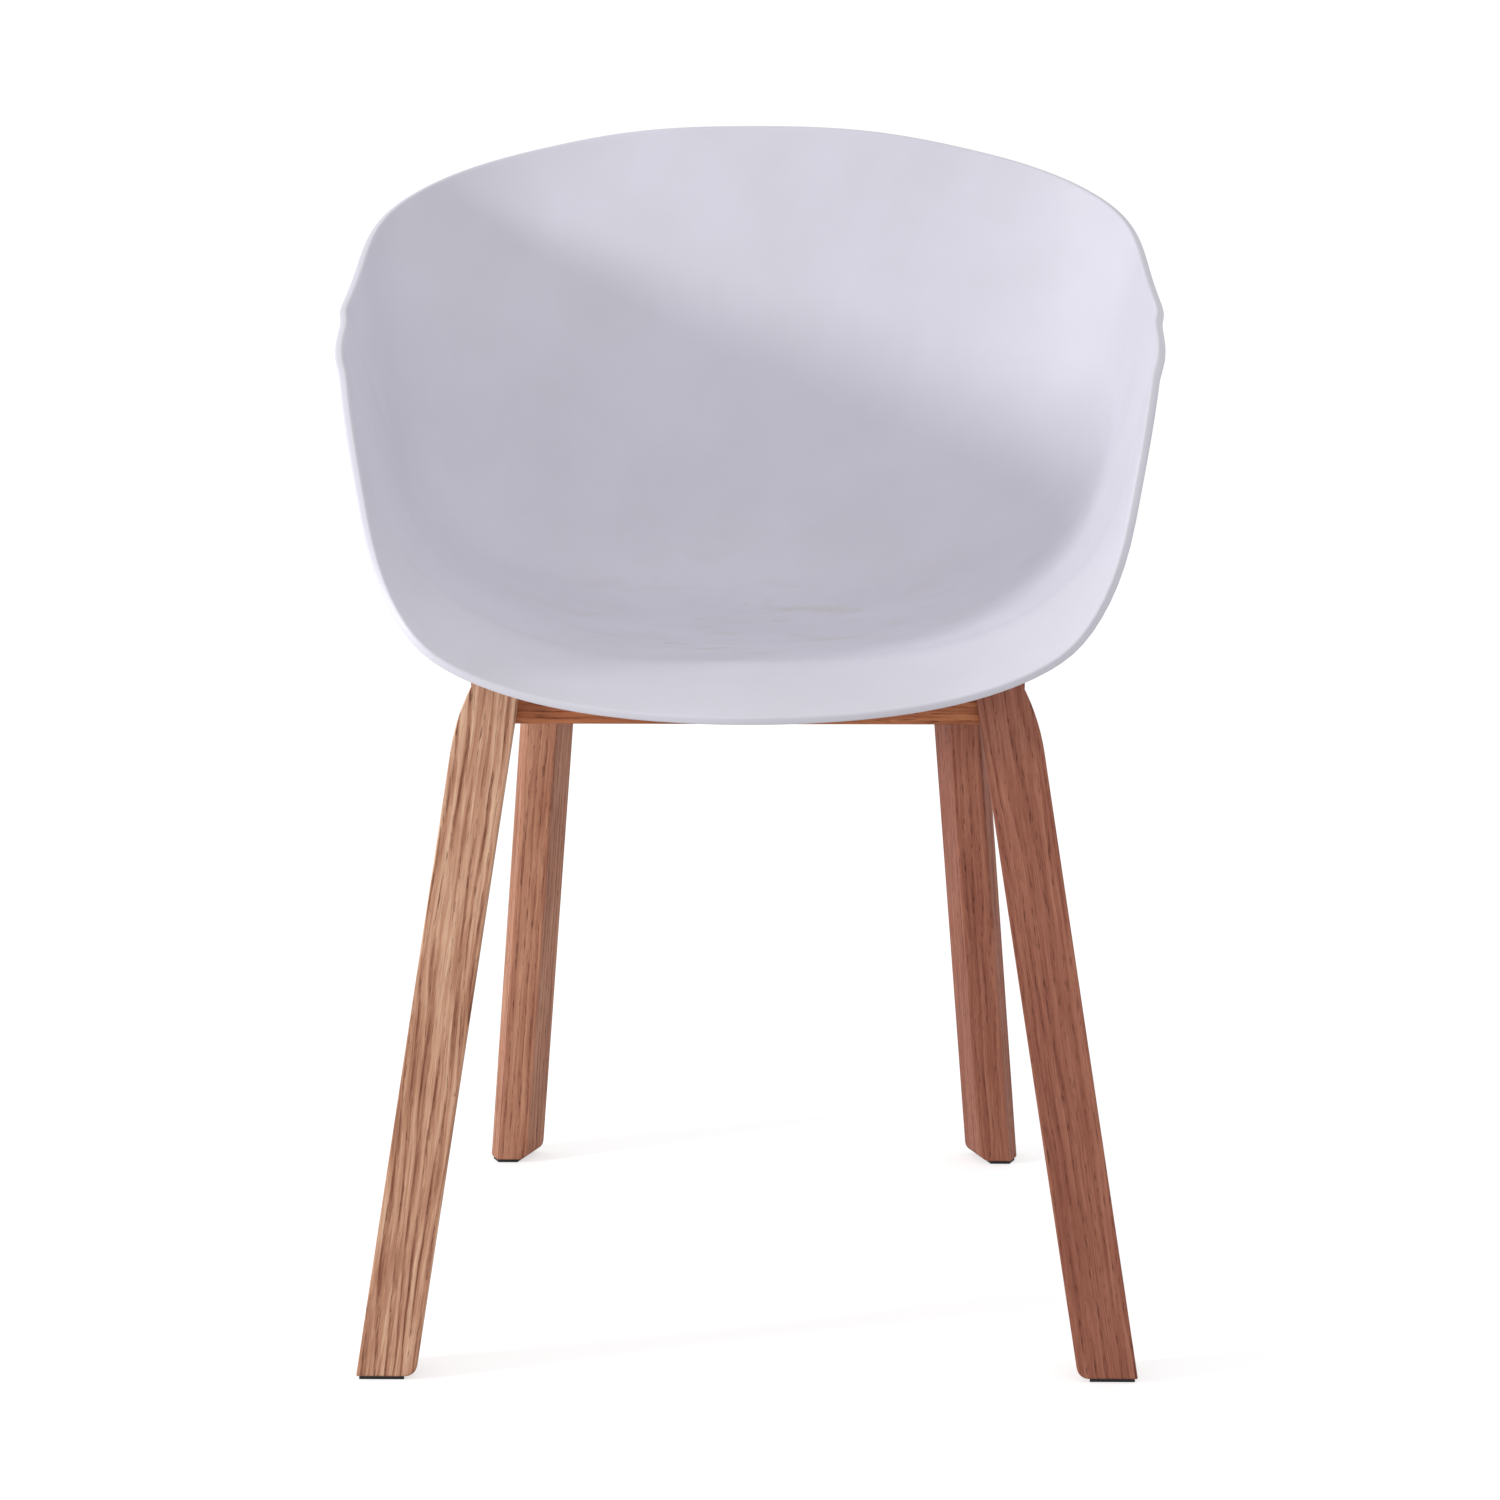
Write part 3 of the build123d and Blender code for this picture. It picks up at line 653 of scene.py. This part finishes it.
cover("rail_dowels", wood("beech_dowels", (0, 0, 0), (1, 0, 0), (0, 0, 1), *BEECH, seed=83.0, ring=2.2,
                          ring_depth=0.25, wave=0.4))
glide_finish = glide_black()
for corner in CORNERS:
    cover(corner + "_glide", glide_finish)
zinc = metal("zinc_plated_steel", (0.62, 0.63, 0.65, 1), (0.42, 0.42, 0.41, 1), 0.28, 3.0)
for fixing in ("glide_nails", "corner_block_screws", "shell_bolt_washers"):
    cover(fixing, zinc)
cover("shell_bolts", metal("black_oxide_steel", (0.05, 0.05, 0.055, 1), (0.09, 0.088, 0.085, 1), 0.34, 2.0))
cover("shell_inserts", metal("insert_brass", (0.78, 0.57, 0.25, 1), (0.55, 0.38, 0.17, 1), 0.26, 2.5))
cover("spacer_pads", rubber())

shell.data.materials.append(plastic_white())
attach(shell, "root")
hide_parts("seat_shell")


# ------------------------ floor, light and camera
FLOOR_HALF = 150.0
FLOOR_GLOW = 0.08  # what the floor gives off as a light
FLOOR_GLOW_SEEN = 0.53  # and what is added where the camera sees it, so that it is white like the background
AMBIENT = 0.72
KEY_PLACE = (-2.31, -0.88, 1.01)  # low on the left, so that the left arm shades the seat
KEY_TARGET = (0, 0, 0.62)
KEY_SIZE = 0.42
KEY_WATTS = 31
FILL_PLACE = (0.9, -3.5, 1.1)
FILL_TARGET = (0, 0, 0.5)
FILL_SIZE = 1.4
FILL_WATTS = 2.5
CAMERA_PLACE = (0.029, -2.690, 0.9185)
CAMERA_DOWN = 11.51  # degrees
CAMERA_TURN = 0.63
LENS = 93.9
SENSOR = 36


def add_floor():
    """Plain pale floor, wide enough to fill the view."""
    turns = ((-1, -1), (1, -1), (1, 1), (-1, 1))
    corners = [(FLOOR_HALF * x, FLOOR_HALF * y, 0) for x, y in turns]
    mesh = bpy.data.meshes.new("studio_floor")
    mesh.from_pydata(corners, [], [(0, 1, 2, 3)])
    floor = bpy.data.objects.new("studio_floor", mesh)
    bpy.context.scene.collection.objects.link(floor)
    paint = Painter("studio_floor_white", specular_ior_level=0.0)
    tone = paint.noise(paint.place(), 900, 2, 0.5)
    paint.set("base color", paint.ramp(tone, [(0, (0.595, 0.595, 0.595, 1)), (1, (0.605, 0.605, 0.605, 1))]))
    paint.set("roughness", 0.9)
    paint.set("emission color", (1, 1, 1, 1))
    seen = paint.add("LightPath").outputs["Is Camera Ray"]
    paint.set("emission strength", paint.math("MULTIPLY_ADD", seen, FLOOR_GLOW_SEEN, FLOOR_GLOW))
    mesh.materials.append(paint.material)


def add_area_light(name, place, target, size, watts):
    """Round soft light at a place, turned to a target."""
    lamp = bpy.data.lights.new(name, "AREA")
    lamp.shape = "DISK"
    lamp.size = size
    lamp.energy = watts
    holder = bpy.data.objects.new(name, lamp)
    holder.location = place
    holder.rotation_euler = (Vector(target) - Vector(place)).to_track_quat("-Z", "Y").to_euler()
    bpy.context.scene.collection.objects.link(holder)


def add_world():
    """Even white surroundings, seen as pure white behind the chair."""
    world = bpy.data.worlds.new("studio")
    bpy.context.scene.world = world
    world.use_nodes = True
    tree = world.node_tree
    background = next(n for n in tree.nodes if n.type == "BACKGROUND")
    background.inputs["Color"].default_value = (1, 1, 1, 1)
    path = tree.nodes.new("ShaderNodeLightPath")
    strength = tree.nodes.new("ShaderNodeMapRange")
    strength.inputs["To Min"].default_value = AMBIENT
    strength.inputs["To Max"].default_value = 1.0
    tree.links.new(path.outputs["Is Camera Ray"], strength.inputs["Value"])
    tree.links.new(strength.outputs["Result"], background.inputs["Strength"])


def add_camera():
    """Camera at the height, distance and turn that the chair is seen from."""
    lens = bpy.data.cameras.new("camera")
    lens.lens = LENS
    lens.sensor_width = SENSOR
    camera = bpy.data.objects.new("camera", lens)
    camera.location = CAMERA_PLACE
    camera.rotation_euler = (math.radians(90 - CAMERA_DOWN), 0, math.radians(CAMERA_TURN))
    bpy.context.scene.collection.objects.link(camera)
    bpy.context.scene.camera = camera


add_floor()
add_world()
add_area_light("key", KEY_PLACE, KEY_TARGET, KEY_SIZE, KEY_WATTS)
add_area_light("front_fill", FILL_PLACE, FILL_TARGET, FILL_SIZE, FILL_WATTS)
add_camera()
bpy.context.scene.view_settings.view_transform = "Standard"
